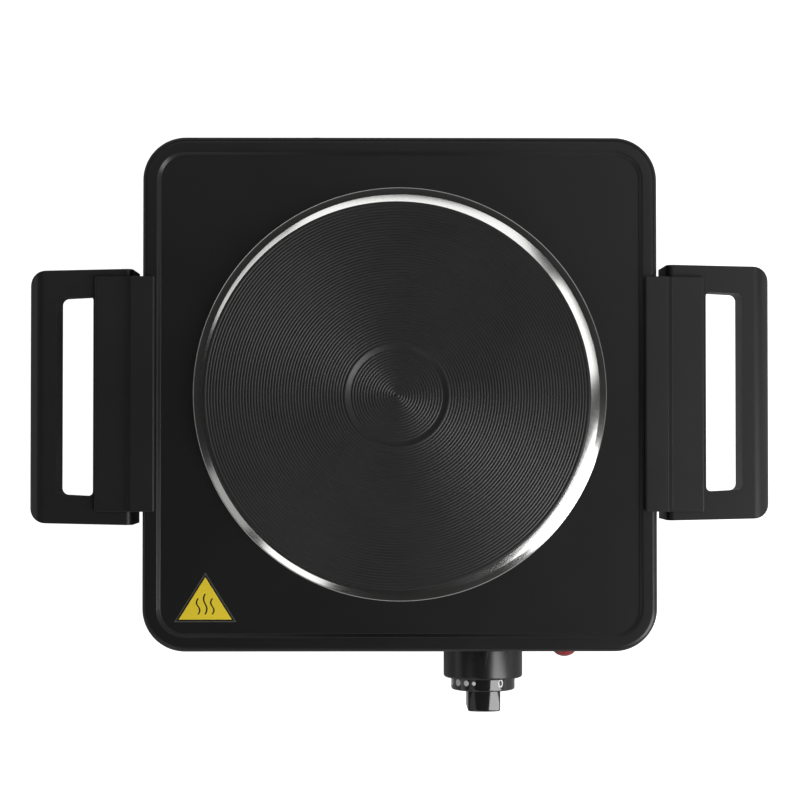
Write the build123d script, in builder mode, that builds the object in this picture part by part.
from build123d import *
from math import cos, pi, radians, sin, tan
import os

# Single electric hot plate: pressed-steel body, cast-iron heating plate in a steel ring,
# two loop handles, thermostat knob and pilot lamp on the front wall.
# Millimetres, +Z up, front (knob side) at -Y, standing on its feet at Z = 0.

os.makedirs("parts", exist_ok=True)

# ---------------------------------------------------------------- driving dimensions
body_w = 240.0            # width and depth of the square body
body_y = 13.0             # the body's centre in Y, so that the whole object is centred
body_r = 20.0             # vertical corners of the body
sheet = 1.2               # pressed sheet of the body
skirt_z = 14.0            # lower edge of the body
rim_z = 66.0              # top of the raised rim
rim_w = 6.9               # width of the raised rim
step_run = 1.5            # sloping step from the rim to the panel
step_drop = 1.3
recess_r = 10.5           # corners of the recessed panel
edge_roll = 2.6           # rolled outer edge of the rim
panel_z = rim_z - step_drop
inner_w = body_w - 2 * sheet
flange_w = 12.0           # inward flange at the foot of the body
front_y = body_y - body_w / 2
rear_y = body_y + body_w / 2

base_t = 1.2              # base plate under the body
base_w = 236.0
base_z = skirt_z - base_t
base_screw_at = 113.4     # screw line from the centre
base_screw_side = 62.0
screw_r = 1.7
foot_at = 95.0            # feet from the centre, both ways
foot_top_r = 11.5
foot_low_r = 9.5
foot_screw_r = 2.0

iron_r = 90.0             # cast-iron plate, 180 mm across
iron_top = 74.0
iron_dx = -1.5            # the plate sits a little off the middle of its ring
iron_dy = -0.8
iron_flange_t = 6.5
iron_skirt_r = 85.0
iron_skirt_in = 79.0
iron_low = 58.0
iron_dish_r = 23.6        # shallow dish in the middle of the plate
iron_dish_t = 0.7
rib_radii = (31.0, 47.0, 63.0)
rib_t = 2.5
cement_low = 60.0
coil_r = 2.4
iron_floor = iron_top - iron_flange_t
stud_r = 3.0
boss_r = 12.0

ring_in = 87.2            # steel ring around the plate
ring_crease = 93.4
ring_out = 96.7
ring_t = 0.8

knob_x = 40.0             # knob axis
axis_z = 35.0             # height of the knob and lamp axes
bezel_r = 18.85
bezel_len = 14.7
knob_skirt_r = 15.2
knob_skirt_len = 5.8
grip_w = 15.5
grip_r = 14.2
knob_reach = 30.0
spindle_r = 3.0
running_gap = 0.05        # spindle in its bush
bush_r = 5.0
push_r = 1.5

lamp_x = 79.0
lens_r = 5.6
lens_reach = 5.0
barrel_r = 4.9

handle_out = 173.6        # outer face of each handle from the centre
handle_in = 125.0
handle_bar = 12.6
handle_top = 62.7
handle_h = 24.5
handle_base_w = 17.5      # inner bar of the loop
handle_base_h = 31.0
handle_half = 59.9        # half length at the body, less a draft at the outer bar
handle_dy = {-1: -1.3, 1: 0.8}  # each handle sits a little off the middle, fore and aft
handle_draft = 1.0
gap_half = 47.6
gap_dy = 0.5              # the finger gap sits a little to the rear of the handle
cover_in = 114.0          # stepped cover plate over rim and handle
cover_out = 142.5
cover_half = 54.8
cover_step = 125.0
cover_slope = 2.2         # run of the slope between its two levels
cover_rise = 2.2
handle_screw_y = 38.0
handle_screw_z = 47.0

gland_x = -40.0
gland_z = 30.0
gland_reach = 4.0
cord_bore_r = 3.7
lead_r = 1.3
thin_lead_r = 0.8


def finish(builder, name):
    builder.part.label = name
    export_step(builder.part, "parts/" + name + ".step")


def facing_front(y):
    """Sketch plane at depth y whose extrusions run to the front, towards -Y."""
    return Plane.XZ.offset(-y)


def square_points(side):
    return [(sx * side, body_y + sy * side) for sx in (-1, 1) for sy in (-1, 1)]


# ---------------------------------------------------------------- body
base_screw_points = []
for s in (-1, 1):
    for t in (-1, 1):
        base_screw_points.append((s * base_screw_side, body_y + t * base_screw_at))
        base_screw_points.append((t * base_screw_at, body_y + s * base_screw_side))

rim_in_w = body_w - 2 * rim_w
floor_in_w = rim_in_w - 2 * step_run

with BuildPart() as housing:
    with BuildSketch(Plane.XY.offset(skirt_z)):
        with Locations((0, body_y)):
            RectangleRounded(body_w, body_w, body_r)
    extrude(amount=rim_z - skirt_z)
    fillet(housing.edges().group_by(Axis.Z)[-1], edge_roll)
    with BuildSketch(Plane.XY.offset(skirt_z)):
        with Locations((0, body_y)):
            RectangleRounded(inner_w, inner_w, body_r - sheet)
    extrude(amount=rim_z - sheet - skirt_z, mode=Mode.SUBTRACT)
    with BuildSketch(Plane.XY.offset(panel_z - sheet)):
        with Locations((0, body_y)):
            RectangleRounded(floor_in_w + 2 * sheet, floor_in_w + 2 * sheet, recess_r + sheet)
    with BuildSketch(Plane.XY.offset(rim_z)):
        with Locations((0, body_y)):
            RectangleRounded(
                rim_in_w + 2 * sheet, rim_in_w + 2 * sheet, recess_r + step_run + sheet
            )
    loft()
    with BuildSketch(Plane.XY.offset(panel_z)):
        with Locations((0, body_y)):
            RectangleRounded(floor_in_w, floor_in_w, recess_r)
    with BuildSketch(Plane.XY.offset(rim_z)):
        with Locations((0, body_y)):
            RectangleRounded(rim_in_w, rim_in_w, recess_r + step_run)
    loft(mode=Mode.SUBTRACT)
    with BuildSketch(Plane.XY.offset(skirt_z)):
        with Locations((0, body_y)):
            RectangleRounded(body_w - sheet, body_w - sheet, body_r - sheet / 2)
            open_w = inner_w - 2 * flange_w
            RectangleRounded(open_w, open_w, body_r - flange_w, mode=Mode.SUBTRACT)
        with Locations(base_screw_points):
            Circle(screw_r, mode=Mode.SUBTRACT)
    extrude(amount=sheet)
    with BuildSketch(Plane.XY.offset(panel_z - 2 * sheet)):
        with Locations((0, body_y)):
            Circle(ring_in + 1.3)
    extrude(amount=3 * sheet, mode=Mode.SUBTRACT)
    with BuildSketch(facing_front(front_y + 2 * sheet)):
        with Locations((knob_x, axis_z)):
            Circle(bush_r)
        with Locations((lamp_x, axis_z)):
            Circle(barrel_r)
    extrude(amount=3 * sheet, mode=Mode.SUBTRACT)
    with BuildSketch(facing_front(rear_y + sheet)):
        with Locations((gland_x, gland_z)):
            Circle(7.0)
    extrude(amount=3 * sheet, mode=Mode.SUBTRACT)
    for side, dy in handle_dy.items():
        with BuildSketch(Plane.YZ.offset(side * (body_w / 2 + sheet))):
            for s in (-1, 1):
                with Locations((body_y + dy + s * handle_screw_y, handle_screw_z)):
                    Circle(screw_r)
        extrude(amount=-side * 3 * sheet, mode=Mode.SUBTRACT)
finish(housing, "housing")

# ---------------------------------------------------------------- base plate, screws and feet
slot_len = 46.0
slot_w = 4.0
slot_pitch = 10.0
earth_x = -8.0
earth_y = body_y + 62.0
earth_r = 1.9

with BuildPart() as base_plate:
    with BuildSketch(Plane.XY.offset(base_z)):
        with Locations((0, body_y)):
            RectangleRounded(base_w, base_w, body_r - 2)
        with Locations(base_screw_points + square_points(foot_at)):
            Circle(screw_r, mode=Mode.SUBTRACT)
        with Locations(square_points(foot_at)):
            Circle(foot_screw_r, mode=Mode.SUBTRACT)
        with Locations((earth_x, earth_y)):
            Circle(earth_r, mode=Mode.SUBTRACT)
        for side in (-1, 1):
            with Locations((side * 36.0, body_y - 12.0)):
                with GridLocations(0, slot_pitch, 1, 9):
                    SlotOverall(slot_len, slot_w, mode=Mode.SUBTRACT)
    extrude(amount=base_t)
finish(base_plate, "base_plate")

with BuildPart() as base_screws:
    with BuildSketch(Plane.XY.offset(base_z - 2.0)):
        with Locations(base_screw_points):
            Circle(3.4)
    extrude(amount=2.0)
    with BuildSketch(Plane.XY.offset(base_z)):
        with Locations(base_screw_points):
            Circle(screw_r)
    extrude(amount=8.0)
    fillet(base_screws.edges().filter_by(GeomType.CIRCLE).group_by(Axis.Z)[0], 1.0)
finish(base_screws, "base_screws")

foot_names = ("foot_front_left", "foot_rear_left", "foot_front_right", "foot_rear_right")
foot_cup_r = 4.8
foot_cup_z = 5.0
for name, (x, y) in zip(foot_names, square_points(foot_at)):
    with BuildPart() as foot:
        with BuildSketch(Plane.XY):
            with Locations((x, y)):
                Circle(foot_low_r)
        with BuildSketch(Plane.XY.offset(base_z)):
            with Locations((x, y)):
                Circle(foot_top_r)
        loft()
        fillet(foot.edges().filter_by(GeomType.CIRCLE).group_by(Axis.Z)[0], 1.2)
        with BuildSketch(Plane.XY):
            with Locations((x, y)):
                Circle(foot_cup_r)
        extrude(amount=foot_cup_z, mode=Mode.SUBTRACT)
        with BuildSketch(Plane.XY):
            with Locations((x, y)):
                Circle(foot_screw_r)
        extrude(amount=base_z, mode=Mode.SUBTRACT)
    finish(foot, name)

with BuildPart() as foot_screws:
    with BuildSketch(Plane.XY.offset(foot_cup_z - 2.2)):
        with Locations(square_points(foot_at)):
            Circle(3.9)
    extrude(amount=2.2)
    with BuildSketch(Plane.XY.offset(foot_cup_z)):
        with Locations(square_points(foot_at)):
            Circle(foot_screw_r)
    extrude(amount=skirt_z + 5.0 - foot_cup_z)
finish(foot_screws, "foot_screws")

with BuildPart() as foot_nuts:
    with BuildSketch(Plane.XY.offset(skirt_z)):
        with Locations(square_points(foot_at)):
            RegularPolygon(3.5, 6, major_radius=False)
            Circle(foot_screw_r, mode=Mode.SUBTRACT)
    extrude(amount=3.2)
finish(foot_nuts, "foot_nuts")

# ---------------------------------------------------------------- heating plate
iron_x = iron_dx
iron_y = body_y + iron_dy
pin_radii = [
    (rib_radii[0] + rib_t + rib_radii[1]) / 2,
    (rib_radii[1] + rib_t + rib_radii[2]) / 2,
    (rib_radii[2] + rib_t + iron_skirt_in) / 2,
]
pin_points = [(iron_x, iron_y - r) for r in pin_radii]
pin_r = 1.5
pin_top = 62.0

with BuildPart() as cast_iron_plate:
    with BuildSketch(Plane.XY.offset(iron_floor)):
        with Locations((iron_x, iron_y)):
            Circle(iron_r)
    extrude(amount=iron_flange_t)
    fillet(cast_iron_plate.edges().group_by(Axis.Z)[-1], 1.0)
    with BuildSketch(Plane.XY.offset(iron_top - iron_dish_t)):
        with Locations((iron_x, iron_y)):
            Circle(iron_dish_r)
    extrude(amount=iron_dish_t, mode=Mode.SUBTRACT)
    with BuildSketch(Plane.XY.offset(iron_low)):
        with Locations((iron_x, iron_y)):
            Circle(iron_skirt_r)
            Circle(iron_skirt_in, mode=Mode.SUBTRACT)
    extrude(amount=iron_floor - iron_low)
    with BuildSketch(Plane.XY.offset(cement_low)):
        for r in rib_radii:
            with Locations((iron_x, iron_y)):
                Circle(r + rib_t)
                Circle(r, mode=Mode.SUBTRACT)
        with Locations((iron_x, iron_y)):
            Circle(boss_r)
    extrude(amount=iron_floor - cement_low)
    with BuildSketch(Plane.XY.offset(cement_low)):
        with Locations((iron_x, iron_y)):
            Circle(stud_r)
    extrude(amount=iron_floor - cement_low, mode=Mode.SUBTRACT)
finish(cast_iron_plate, "cast_iron_plate")

coil_z = cement_low + 4.0
coil_sweep = 348.0
with BuildPart() as heating_coil:
    for r in pin_radii:
        start = Plane(
            origin=(iron_x, iron_y, coil_z),
            x_dir=(sin(radians(6.0)), -cos(radians(6.0)), 0),
            z_dir=(cos(radians(6.0)), sin(radians(6.0)), 0),
        )
        with BuildSketch(start):
            with Locations((r, 0)):
                Circle(coil_r)
        revolve(axis=Axis((iron_x, iron_y, 0), (0, 0, 1)), revolution_arc=coil_sweep)
finish(heating_coil, "heating_coil")

cement_bands = [
    (rib_radii[0] + rib_t, rib_radii[1]),
    (rib_radii[1] + rib_t, rib_radii[2]),
    (rib_radii[2] + rib_t, iron_skirt_in),
]
with BuildPart() as insulating_cement:
    with BuildSketch(Plane.XY.offset(cement_low)):
        for low, high in cement_bands:
            with Locations((iron_x, iron_y)):
                Circle(high)
                Circle(low, mode=Mode.SUBTRACT)
    extrude(amount=iron_floor - cement_low)
    with BuildSketch(Plane.XY.offset(cement_low)):
        with Locations(pin_points):
            Circle(pin_r)
    extrude(amount=pin_top - cement_low, mode=Mode.SUBTRACT)
    add(heating_coil.part, mode=Mode.SUBTRACT)
finish(insulating_cement, "insulating_cement")

heater_cover_t = 0.8
with BuildPart() as heater_cover:
    with BuildSketch(Plane.XY.offset(cement_low - heater_cover_t)):
        with Locations((iron_x, iron_y)):
            Circle(iron_skirt_in)
            Circle(stud_r, mode=Mode.SUBTRACT)
        with Locations(pin_points):
            Circle(2 * pin_r, mode=Mode.SUBTRACT)
    extrude(amount=heater_cover_t)
finish(heater_cover, "heater_cover")

block_t = 10.0
block_top = cement_low - heater_cover_t
with BuildPart() as heater_block:
    with BuildSketch(Plane.XY.offset(block_top - block_t)):
        with Locations((iron_x, iron_y - pin_radii[1])):
            RectangleRounded(16.0, 44.0, 3.0)
        with Locations(pin_points):
            Circle(pin_r, mode=Mode.SUBTRACT)
    extrude(amount=block_t)
finish(heater_block, "heater_block")

tab_w = 6.3
tab_t = 0.8
tab_low = 40.0
with BuildPart() as heater_pins:
    with BuildSketch(Plane.XY.offset(block_top - block_t - 1.0)):
        with Locations(pin_points):
            Circle(pin_r)
    extrude(amount=pin_top - block_top + block_t + 1.0)
    with BuildSketch(Plane.XY.offset(tab_low)):
        with Locations(pin_points):
            Rectangle(tab_w, tab_t)
    extrude(amount=block_top - block_t - 1.0 - tab_low)
finish(heater_pins, "heater_pins")

ring_lip = 1.0            # flat lip under the iron, before the ring slopes away
with BuildPart() as trim_ring:
    with BuildSketch(Plane.XZ.offset(-body_y)):
        with BuildLine():
            Polyline(
                (ring_in, iron_floor - ring_t),
                (ring_in, iron_floor),
                (ring_in + ring_lip, iron_floor),
                (ring_crease, iron_floor - 1.0),
                (ring_out - 0.6, iron_floor - 2.35),
                (ring_out, panel_z),
                (ring_out - 1.3, panel_z),
                (ring_crease - 0.3, iron_floor - 1.0 - ring_t),
                (ring_in + ring_lip - 0.2, iron_floor - ring_t),
                close=True,
            )
        make_face()
    revolve(axis=Axis((0, body_y, 0), (0, 0, 1)))
finish(trim_ring, "trim_ring")

# ---------------------------------------------------------------- clamping under the plate
bracket_t = 2.0
bracket_z = 44.0
bracket_half_w = 11.0
shield_t = 0.6
washer_t = 1.6
nut_t = 5.0
stud_low = 34.0
panel_low = panel_z - sheet

with BuildPart() as centre_stud:
    with BuildSketch(Plane.XY.offset(stud_low)):
        with Locations((iron_x, iron_y)):
            Circle(stud_r)
    extrude(amount=iron_floor - 1.5 - stud_low)
    chamfer(centre_stud.edges().group_by(Axis.Z)[0], 0.5)
finish(centre_stud, "centre_stud")

with BuildPart() as clamp_bracket:
    with BuildSketch(Plane.XZ.offset(-body_y + bracket_half_w)):
        with BuildLine():
            Polyline(
                (-106.0, panel_low - bracket_t),
                (-93.0, panel_low - bracket_t),
                (-75.0, bracket_z),
                (75.0, bracket_z),
                (93.0, panel_low - bracket_t),
                (106.0, panel_low - bracket_t),
                (106.0, panel_low),
                (92.0, panel_low),
                (74.0, bracket_z + bracket_t),
                (-74.0, bracket_z + bracket_t),
                (-92.0, panel_low),
                (-106.0, panel_low),
                close=True,
            )
        make_face()
    extrude(amount=-2 * bracket_half_w)
    with BuildSketch(Plane.XY.offset(bracket_z)):
        with Locations((iron_x, iron_y)):
            Circle(stud_r)
    extrude(amount=bracket_t, mode=Mode.SUBTRACT)
finish(clamp_bracket, "clamp_bracket")

shield_r = 83.0
with BuildPart() as heat_shield:
    with BuildSketch(Plane.XY.offset(bracket_z - shield_t)):
        with Locations((iron_x, iron_y)):
            Circle(shield_r)
            Circle(stud_r, mode=Mode.SUBTRACT)
        with Locations((iron_x, iron_y - pin_radii[1])):
            RectangleRounded(24.0, 52.0, 4.0, mode=Mode.SUBTRACT)
    extrude(amount=shield_t)
    with BuildSketch(Plane.XY.offset(bracket_z - 6.0)):
        with Locations((iron_x, iron_y)):
            Circle(shield_r)
            Circle(shield_r - shield_t, mode=Mode.SUBTRACT)
    extrude(amount=6.0)
finish(heat_shield, "heat_shield")

with BuildPart() as stud_washer:
    with BuildSketch(Plane.XY.offset(bracket_z - shield_t - washer_t)):
        with Locations((iron_x, iron_y)):
            Circle(9.0)
            Circle(stud_r, mode=Mode.SUBTRACT)
    extrude(amount=washer_t)
finish(stud_washer, "stud_washer")

with BuildPart() as stud_nut:
    with BuildSketch(Plane.XY.offset(bracket_z - shield_t - washer_t - nut_t)):
        with Locations((iron_x, iron_y)):
            RegularPolygon(5.0, 6, major_radius=False)
            Circle(stud_r, mode=Mode.SUBTRACT)
    extrude(amount=nut_t)
finish(stud_nut, "stud_nut")

# ---------------------------------------------------------------- knob, bezel and spindle
bezel_web = 2.5
bezel_cup = 6.0
skirt_back = 8.0

with BuildPart() as knob_bezel:
    with BuildSketch(facing_front(front_y)):
        with Locations((knob_x, axis_z)):
            Circle(bezel_r)
    extrude(amount=bezel_len)
    fillet(knob_bezel.edges().group_by(Axis.Y)[0], 1.3)
    with BuildSketch(facing_front(front_y)):
        with Locations((knob_x, axis_z)):
            Circle(bush_r)
    extrude(amount=bezel_len, mode=Mode.SUBTRACT)
    with BuildSketch(facing_front(front_y - bezel_web)):
        with Locations((knob_x, axis_z)):
            Circle(11.0)
    extrude(amount=bezel_len, mode=Mode.SUBTRACT)
    with BuildSketch(facing_front(front_y - bezel_cup)):
        with Locations((knob_x, axis_z)):
            Circle(knob_skirt_r + 0.4)
    extrude(amount=bezel_len, mode=Mode.SUBTRACT)
finish(knob_bezel, "knob_bezel")

spindle_flat = 2.2
spindle_front = front_y - 25.0
spindle_back = front_y + 16.0
push_bore = 9.0
flat_len = 15.0

with BuildPart() as knob:
    with BuildSketch(facing_front(front_y - skirt_back)):
        with Locations((knob_x, axis_z)):
            Circle(knob_skirt_r)
    extrude(amount=bezel_len + knob_skirt_len - skirt_back)
    fillet(knob.edges().group_by(Axis.Y)[0], 0.8)
    with BuildSketch(facing_front(front_y - bezel_len - knob_skirt_len)):
        with Locations((knob_x, axis_z)):
            Circle(grip_r)
            Rectangle(grip_w, 2 * grip_r, mode=Mode.INTERSECT)
    extrude(amount=knob_reach - bezel_len - knob_skirt_len)
    fillet(knob.edges().group_by(Axis.Y)[0], 1.2)
    with BuildSketch(facing_front(front_y - skirt_back)):
        with Locations((knob_x, axis_z)):
            Circle(knob_skirt_r - 1.8)
            Circle(5.5, mode=Mode.SUBTRACT)
    extrude(amount=bezel_len + knob_skirt_len - skirt_back - 2.0, mode=Mode.SUBTRACT)
    with BuildSketch(facing_front(front_y - skirt_back)):
        with Locations((knob_x, axis_z)):
            Circle(spindle_r)
    extrude(amount=front_y - skirt_back - spindle_front, mode=Mode.SUBTRACT)
finish(knob, "knob")

with BuildPart() as spindle:
    with BuildSketch(facing_front(spindle_back)):
        with Locations((knob_x, axis_z)):
            Circle(spindle_r)
    extrude(amount=spindle_back - spindle_front)
    with BuildSketch(facing_front(front_y + 6.2)):
        with Locations((knob_x, axis_z)):
            Circle(4.6)
    extrude(amount=1.6)
    with BuildSketch(facing_front(spindle_front + flat_len)):
        with Locations((knob_x, axis_z + spindle_flat + spindle_r)):
            Rectangle(2 * spindle_r, 2 * spindle_r)
    extrude(amount=flat_len, mode=Mode.SUBTRACT)
    with BuildSketch(facing_front(spindle_back)):
        with Locations((knob_x, axis_z)):
            Circle(push_r + running_gap)
    extrude(amount=push_bore, mode=Mode.SUBTRACT)
finish(spindle, "thermostat_spindle")

clip_t = 0.35
with BuildPart() as knob_clip:
    with BuildSketch(facing_front(front_y - 12.0)):
        with Locations((knob_x, axis_z + spindle_flat + clip_t / 2)):
            Rectangle(3.0, clip_t)
    extrude(amount=9.0)
finish(knob_clip, "knob_clip")

# ---------------------------------------------------------------- thermostat
frame_t = 1.5
frame_y = front_y + sheet
frame_half = 16.0
frame_arm = 20.0
with BuildPart() as thermostat_frame:
    with BuildSketch(facing_front(frame_y + frame_t)):
        with Locations((knob_x, axis_z)):
            RectangleRounded(2 * frame_half, 30.0, 2.0)
            Circle(bush_r, mode=Mode.SUBTRACT)
    extrude(amount=frame_t)
    with BuildSketch(facing_front(frame_y + frame_t + frame_arm)):
        for side in (-1, 1):
            with Locations((knob_x + side * (frame_half - frame_t / 2), axis_z)):
                Rectangle(frame_t, 14.0)
    extrude(amount=frame_arm)
finish(thermostat_frame, "thermostat_frame")

bush_front = front_y - 6.4
with BuildPart() as thermostat_bush:
    with BuildSketch(facing_front(frame_y + frame_t)):
        with Locations((knob_x, axis_z)):
            Circle(bush_r)
    extrude(amount=frame_y + frame_t - bush_front)
    with BuildSketch(facing_front(frame_y + frame_t + 1.5)):
        with Locations((knob_x, axis_z)):
            Circle(7.5)
    extrude(amount=1.5)
    with BuildSketch(facing_front(frame_y + frame_t + 1.5)):
        with Locations((knob_x, axis_z)):
            Circle(spindle_r + running_gap)
    extrude(amount=frame_y + frame_t + 1.5 - bush_front, mode=Mode.SUBTRACT)
finish(thermostat_bush, "thermostat_bush")

with BuildPart() as thermostat_nut:
    with BuildSketch(facing_front(front_y - bezel_web)):
        with Locations((knob_x, axis_z)):
            RegularPolygon(7.0, 6, major_radius=False)
            Circle(bush_r, mode=Mode.SUBTRACT)
    extrude(amount=3.0)
finish(thermostat_nut, "thermostat_nut")

guide_front = front_y + 17.5
guide_t = 4.0
key_w = 3.4
rivet_r = 1.2
rivet_x = knob_x + 10.0
rivet_spots = [(rivet_x, axis_z - 4.0), (rivet_x, axis_z + 4.0)]
with BuildPart() as thermostat_guide:
    with BuildSketch(facing_front(guide_front + guide_t)):
        with Locations((knob_x, axis_z)):
            Rectangle(2 * (frame_half - frame_t), 14.0)
            Rectangle(key_w + 0.4, key_w + 0.4, mode=Mode.SUBTRACT)
        with Locations(rivet_spots):
            Circle(rivet_r, mode=Mode.SUBTRACT)
    extrude(amount=guide_t)
finish(thermostat_guide, "thermostat_guide")

push_front = front_y + 8.4
push_back = front_y + 24.2
with BuildPart() as push_screw:
    with BuildSketch(facing_front(front_y + 17.0)):
        with Locations((knob_x, axis_z)):
            Circle(push_r)
    extrude(amount=front_y + 17.0 - push_front)
    with BuildSketch(facing_front(push_back)):
        with Locations((knob_x, axis_z)):
            Rectangle(key_w, key_w)
    extrude(amount=push_back - front_y - 17.0)
finish(push_screw, "push_screw")

# contact leaves, from front to back: name, depth, thickness, left end, right end
leaves = (
    ("moving_blade", 25.6, 0.4, knob_x - 10.0, knob_x + 22.0),
    ("fixed_blade", 28.6, 0.6, knob_x - 22.0, knob_x + 14.0),
    ("bimetal_strip", 32.0, 1.0, knob_x - 10.0, knob_x + 14.0),
)
leaf_h = 7.0
stack_left = knob_x + 5.0
stack_w = 9.4
stack_front = guide_front + guide_t
stack_back = front_y + 35.0
with BuildPart() as contact_stack:
    with BuildSketch(facing_front(stack_back)):
        with Locations((stack_left + stack_w / 2, axis_z)):
            Rectangle(stack_w, 13.0)
        with Locations(rivet_spots):
            Circle(rivet_r, mode=Mode.SUBTRACT)
    extrude(amount=stack_back - stack_front)
    for name, depth, thick, left, right in leaves:
        with BuildSketch(facing_front(front_y + depth + thick)):
            with Locations((knob_x + 10.0, axis_z)):
                Rectangle(40.0, 14.0)
        extrude(amount=thick, mode=Mode.SUBTRACT)
finish(contact_stack, "contact_stack")

for name, depth, thick, left, right in leaves:
    with BuildPart() as leaf:
        with BuildSketch(facing_front(front_y + depth + thick)):
            with Locations(((left + right) / 2, axis_z)):
                Rectangle(right - left, leaf_h)
            with Locations((stack_left + stack_w / 2, axis_z)):
                Rectangle(stack_w, 13.0)
            with Locations(rivet_spots):
                Circle(rivet_r, mode=Mode.SUBTRACT)
        extrude(amount=thick)
        if name != "bimetal_strip":
            towards = 1 if name == "moving_blade" else -1
            face_y = front_y + depth + (thick if towards > 0 else 0.0)
            with BuildSketch(Plane.XZ.offset(-face_y)):
                with Locations((knob_x - 6.0, axis_z)):
                    Circle(2.0)
            extrude(amount=-towards * 0.9)
    finish(leaf, name)

with BuildPart() as stack_rivets:
    with BuildSketch(facing_front(stack_back)):
        with Locations(rivet_spots):
            Circle(rivet_r)
    extrude(amount=stack_back - guide_front)
    with BuildSketch(facing_front(stack_back + 1.0)):
        with Locations(rivet_spots):
            Circle(2.2)
    extrude(amount=1.0)
finish(stack_rivets, "stack_rivets")

# ---------------------------------------------------------------- pilot lamp
lamp_back = front_y + 14.0
barrel_in = 3.9
with BuildPart() as lamp_lens:
    with BuildSketch(facing_front(front_y)):
        with Locations((lamp_x, axis_z)):
            Circle(lens_r)
    extrude(amount=lens_reach)
    fillet(lamp_lens.edges().group_by(Axis.Y)[0], 4.6)
    with BuildSketch(facing_front(lamp_back)):
        with Locations((lamp_x, axis_z)):
            Circle(barrel_r)
    extrude(amount=lamp_back - front_y)
    with BuildSketch(facing_front(lamp_back)):
        with Locations((lamp_x, axis_z)):
            Circle(barrel_in)
    extrude(amount=lamp_back - front_y, mode=Mode.SUBTRACT)
finish(lamp_lens, "lamp_lens")

neon_r = 3.0
with BuildPart() as lamp_neon:
    with BuildSketch(facing_front(lamp_back)):
        with Locations((lamp_x, axis_z)):
            Circle(neon_r)
    extrude(amount=11.0)
    fillet(lamp_neon.edges().group_by(Axis.Y)[0], 2.4)
finish(lamp_neon, "lamp_neon")

with BuildPart() as lamp_cap:
    with BuildSketch(facing_front(lamp_back + 2.0)):
        with Locations((lamp_x, axis_z)):
            Circle(barrel_r)
    extrude(amount=2.0)
finish(lamp_cap, "lamp_cap")

with BuildPart() as lamp_clip:
    with BuildSketch(facing_front(front_y + sheet + 0.8)):
        with Locations((lamp_x, axis_z)):
            Circle(8.0)
            Circle(barrel_r, mode=Mode.SUBTRACT)
    extrude(amount=0.8)
finish(lamp_clip, "lamp_clip")

# ---------------------------------------------------------------- handles
peg_r = 2.0
peg_len = 8.0
peg_x = (handle_in + handle_in + handle_base_w) / 2
peg_y = 48.0
boss_handle_r = 6.0
screw_head_t = 2.4
screw_len = 16.0

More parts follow.
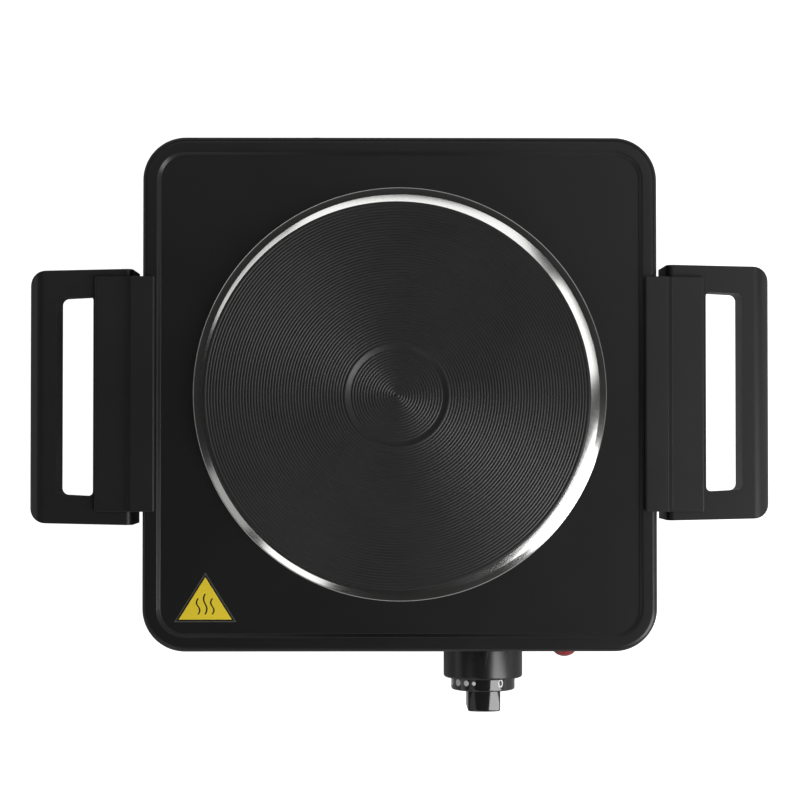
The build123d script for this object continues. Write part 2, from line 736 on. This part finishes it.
for side, word in ((-1, "left"), (1, "right")):
    mid_y = body_y + handle_dy[side]
    outer = [
        (side * handle_in, mid_y - handle_half),
        (side * handle_out, mid_y - handle_half + handle_draft),
        (side * handle_out, mid_y + handle_half - handle_draft),
        (side * handle_in, mid_y + handle_half),
    ]
    gap_x = handle_out - handle_bar
    gap = [
        (side * (handle_in + handle_base_w), mid_y + gap_dy - gap_half),
        (side * gap_x, mid_y + gap_dy - gap_half + handle_draft),
        (side * gap_x, mid_y + gap_dy + gap_half - handle_draft),
        (side * (handle_in + handle_base_w), mid_y + gap_dy + gap_half),
    ]
    screw_spots = [(mid_y + s * handle_screw_y, handle_screw_z) for s in (-1, 1)]
    with BuildPart() as handle:
        with BuildSketch(Plane.XY.offset(handle_top - handle_h)) as loop:
            with BuildLine():
                Polyline(*outer, close=True)
            make_face()
            fillet(loop.vertices().filter_by(lambda v: abs(v.X) > handle_out - 1), 8.0)
            fillet(loop.vertices().filter_by(lambda v: abs(v.X) < handle_in + 1), 2.2)
        extrude(amount=handle_h)
        with BuildSketch(Plane.XY.offset(handle_top - handle_base_h)):
            with Locations((side * (handle_in + handle_base_w / 2), mid_y)):
                RectangleRounded(handle_base_w, 2 * handle_half - 1.0, 2.2)
        extrude(amount=handle_base_h - handle_h)
        with BuildSketch(Plane.XY.offset(handle_top - handle_base_h)):
            with BuildLine():
                Polyline(*gap, close=True)
            make_face()
            fillet(vertices(), 3.0)
        extrude(amount=handle_base_h, mode=Mode.SUBTRACT)
        top_edges = handle.edges().group_by(Axis.Z)[-1]
        fillet(top_edges, 1.0)
        with BuildSketch(Plane.YZ.offset(side * body_w / 2)):
            with Locations(*screw_spots):
                Circle(boss_handle_r)
        extrude(amount=side * (handle_in - body_w / 2))
        with BuildSketch(Plane.YZ.offset(side * body_w / 2)):
            with Locations(*screw_spots):
                Circle(screw_r)
        extrude(amount=side * screw_len, mode=Mode.SUBTRACT)
        with BuildSketch(Plane.XY.offset(handle_top)):
            with Locations(*[(side * peg_x, mid_y + s * peg_y) for s in (-1, 1)]):
                Circle(peg_r)
        extrude(amount=-peg_len, mode=Mode.SUBTRACT)
    finish(handle, "handle_" + word)

    with BuildPart() as handle_cover:
        with BuildSketch(Plane.XZ.offset(-body_y + cover_half)):
            with BuildLine():
                Polyline(
                    (side * cover_in, rim_z),
                    (side * cover_in, rim_z + cover_rise),
                    (side * cover_step, rim_z + cover_rise),
                    (side * (cover_step + cover_slope), handle_top + 2.5),
                    (side * cover_out, handle_top + 2.5),
                    (side * cover_out, handle_top),
                    (side * (body_w / 2 + 2.6), handle_top),
                    (side * (body_w / 2 + 1.0), rim_z),
                    close=True,
                )
            make_face()
        extrude(amount=-2 * cover_half)
        upright = handle_cover.edges().filter_by(Axis.Z)
        fillet(upright.filter_by(lambda e: abs(e.center().X) > cover_out - 1), 2.3)
        upright = handle_cover.edges().filter_by(Axis.Z)
        fillet(upright.filter_by(lambda e: abs(e.center().X) < cover_in + 1), 1.2)
        with BuildSketch(Plane.XY.offset(handle_top)):
            with Locations(*[(side * peg_x, mid_y + s * peg_y) for s in (-1, 1)]):
                Circle(peg_r)
        extrude(amount=-peg_len)
    finish(handle_cover, "handle_cover_" + word)

    with BuildPart() as handle_screws:
        with BuildSketch(Plane.YZ.offset(side * inner_w / 2)):
            with Locations(*screw_spots):
                Circle(3.4)
        extrude(amount=-side * screw_head_t)
        with BuildSketch(Plane.YZ.offset(side * inner_w / 2)):
            with Locations(*screw_spots):
                Circle(screw_r)
        extrude(amount=side * (sheet + screw_len))
    finish(handle_screws, "handle_screws_" + word)

# ---------------------------------------------------------------- cord inlet and wiring
with BuildPart() as cord_gland:
    with BuildSketch(facing_front(rear_y + gland_reach)):
        with Locations((gland_x, gland_z)):
            Circle(9.0)
    extrude(amount=gland_reach)
    fillet(cord_gland.edges().group_by(Axis.Y)[-1], 1.5)
    with BuildSketch(facing_front(rear_y)):
        with Locations((gland_x, gland_z)):
            Circle(7.0)
    extrude(amount=sheet)
    with BuildSketch(facing_front(rear_y - sheet)):
        with Locations((gland_x, gland_z)):
            Circle(9.0)
    extrude(amount=3.0)
    with BuildSketch(facing_front(rear_y + gland_reach)):
        with Locations((gland_x, gland_z)):
            Circle(cord_bore_r)
    extrude(amount=gland_reach + sheet + 3.0, mode=Mode.SUBTRACT)
finish(cord_gland, "cord_gland")

terminal_y = rear_y - 34.0
terminal_pitch = 9.5
terminal_half = 8.5
terminal_h = 14.0
terminal_xs = [gland_x + i * terminal_pitch for i in (-1, 0, 1)]
wire_z = skirt_z + 7.0
clamp_spots = [(x, terminal_y + s * 4.5) for x in terminal_xs for s in (-1, 1)]
with BuildPart() as terminal_block:
    with BuildSketch(Plane.XY.offset(skirt_z)):
        with Locations((gland_x, terminal_y)):
            RectangleRounded(3 * terminal_pitch + 2.0, 2 * terminal_half, 1.5)
    extrude(amount=terminal_h)
    with BuildSketch(facing_front(terminal_y + terminal_half)):
        with Locations(*[(x, wire_z) for x in terminal_xs]):
            Circle(1.6)
    extrude(amount=2 * terminal_half, mode=Mode.SUBTRACT)
    with BuildSketch(Plane.XY.offset(skirt_z + terminal_h)):
        with Locations(clamp_spots):
            Circle(1.5)
    extrude(amount=-4.5, mode=Mode.SUBTRACT)
finish(terminal_block, "terminal_block")

with BuildPart() as terminal_screws:
    with BuildSketch(Plane.XY.offset(skirt_z + terminal_h - 1.0)):
        with Locations(clamp_spots):
            Circle(1.5)
    extrude(amount=-3.5)
finish(terminal_screws, "terminal_screws")

with BuildPart() as earth_tag:
    with BuildSketch(Plane.XY.offset(skirt_z)):
        with Locations((earth_x, earth_y)):
            Circle(4.2)
        with Locations((earth_x - 6.0, earth_y)):
            Rectangle(8.0, 4.0)
        with Locations((earth_x, earth_y)):
            Circle(earth_r, mode=Mode.SUBTRACT)
    extrude(amount=0.8)
finish(earth_tag, "earth_tag")

with BuildPart() as earth_screw:
    with BuildSketch(Plane.XY.offset(base_z)):
        with Locations((earth_x, earth_y)):
            Circle(earth_r)
    extrude(amount=base_t + 0.8)
    with BuildSketch(Plane.XY.offset(skirt_z + 0.8)):
        with Locations((earth_x, earth_y)):
            Circle(3.8)
    extrude(amount=2.4)
finish(earth_screw, "earth_screw")

# Insulated leads inside the body: name, radius and route from end to end. Each route is
# given from the middle of the body, and its corners are rounded as far as its runs allow.
block_front = terminal_y - terminal_half - body_y
blade_y = front_y + 25.8 - body_y
leads = (
    (
        "lead_live",
        lead_r,
        (terminal_xs[0], block_front, wire_z),
        (terminal_xs[0], 55.0, 20.0),
        (-34.0, 10.0, 17.5),
        (4.0, -62.0, 17.5),
        (46.0, -84.0, 18.0),
        (72.0, -80.0, 22.0),
        (78.0, -92.0, 30.0),
        (62.0, blade_y, 33.0),
    ),
    (
        "lead_switched",
        lead_r,
        (18.0, front_y + 28.9 - body_y, 35.0),
        (4.0, -91.0, 32.0),
        (-3.5, -82.0, 27.0),
        (-2.5, -75.0, 30.0),
        (pin_points[2][0], pin_points[2][1] - body_y, tab_low),
    ),
    (
        "lead_neutral",
        lead_r,
        (terminal_xs[2], block_front, wire_z),
        (terminal_xs[2], 50.0, 22.0),
        (-22.0, 5.0, 23.0),
        (-11.0, -28.0, 25.0),
        (-4.0, -38.0, 29.0),
        (pin_points[0][0], pin_points[0][1] - body_y, tab_low),
    ),
    (
        "lead_earth",
        lead_r,
        (terminal_xs[1], block_front, wire_z),
        (terminal_xs[1], 67.0, 19.0),
        (-33.0, 60.5, 16.8),
        (earth_x - 10.0, earth_y - body_y, skirt_z + 1.6),
    ),
    (
        "lead_lamp_live",
        thin_lead_r,
        (lamp_x - 1.8, lamp_back + 2.0 - body_y, 35.0),
        (lamp_x - 2.4, -99.0, 36.5),
        (70.0, -94.4, 37.8),
        (62.0, blade_y, 37.2),
    ),
    (
        "lead_lamp_neutral",
        thin_lead_r,
        (lamp_x + 1.8, lamp_back + 2.0 - body_y, 35.0),
        (lamp_x + 4.0, -88.0, 33.0),
        (74.0, -58.0, 30.0),
        (42.0, -43.0, 34.0),
        (14.0, -40.0, 38.5),
        (iron_x + tab_w / 2, pin_points[0][1] - body_y, 43.0),
    ),
)


def corner_radii(points):
    """The largest arc that each corner's two runs allow, with room for its neighbour's."""
    radii = []
    for before, at, after in zip(points, points[1:], points[2:]):
        turn = (at - before).get_angle(after - at)
        run = min((at - before).length, (after - at).length)
        radii.append(0.45 * run / tan(radians(turn) / 2))
    return radii


for name, radius, *route in leads:
    points = [Vector(x, y + body_y, z) for x, y, z in route]
    radii = corner_radii(points)
    print(name, "corner radii", [round(r, 1) for r in radii])
    with BuildPart() as lead:
        with BuildLine() as path:
            FilletPolyline(*points, radius=radii)
        with BuildSketch(Plane(origin=path.wire() @ 0, z_dir=path.wire() % 0)):
            Circle(radius)
        sweep()
    expected = pi * radius**2 * path.wire().length
    print(name, "volume over section times length", round(lead.part.volume / expected, 4))
    finish(lead, name)

# ---------------------------------------------------------------- sticker on the panel
sticker_x = -90.6
sticker_y = body_y - 94.6
sticker_w = 29.0
sticker_h = 23.1
sticker_t = 0.2
with BuildPart() as caution_sticker:
    with BuildSketch(Plane.XY.offset(panel_z)):
        with BuildLine():
            Polyline(
                (sticker_x - sticker_w / 2, sticker_y - sticker_h / 2),
                (sticker_x + sticker_w / 2, sticker_y - sticker_h / 2),
                (sticker_x, sticker_y + sticker_h / 2),
                close=True,
            )
        make_face()
        fillet(vertices(), 1.6)
    extrude(amount=sticker_t)
finish(caution_sticker, "caution_sticker")
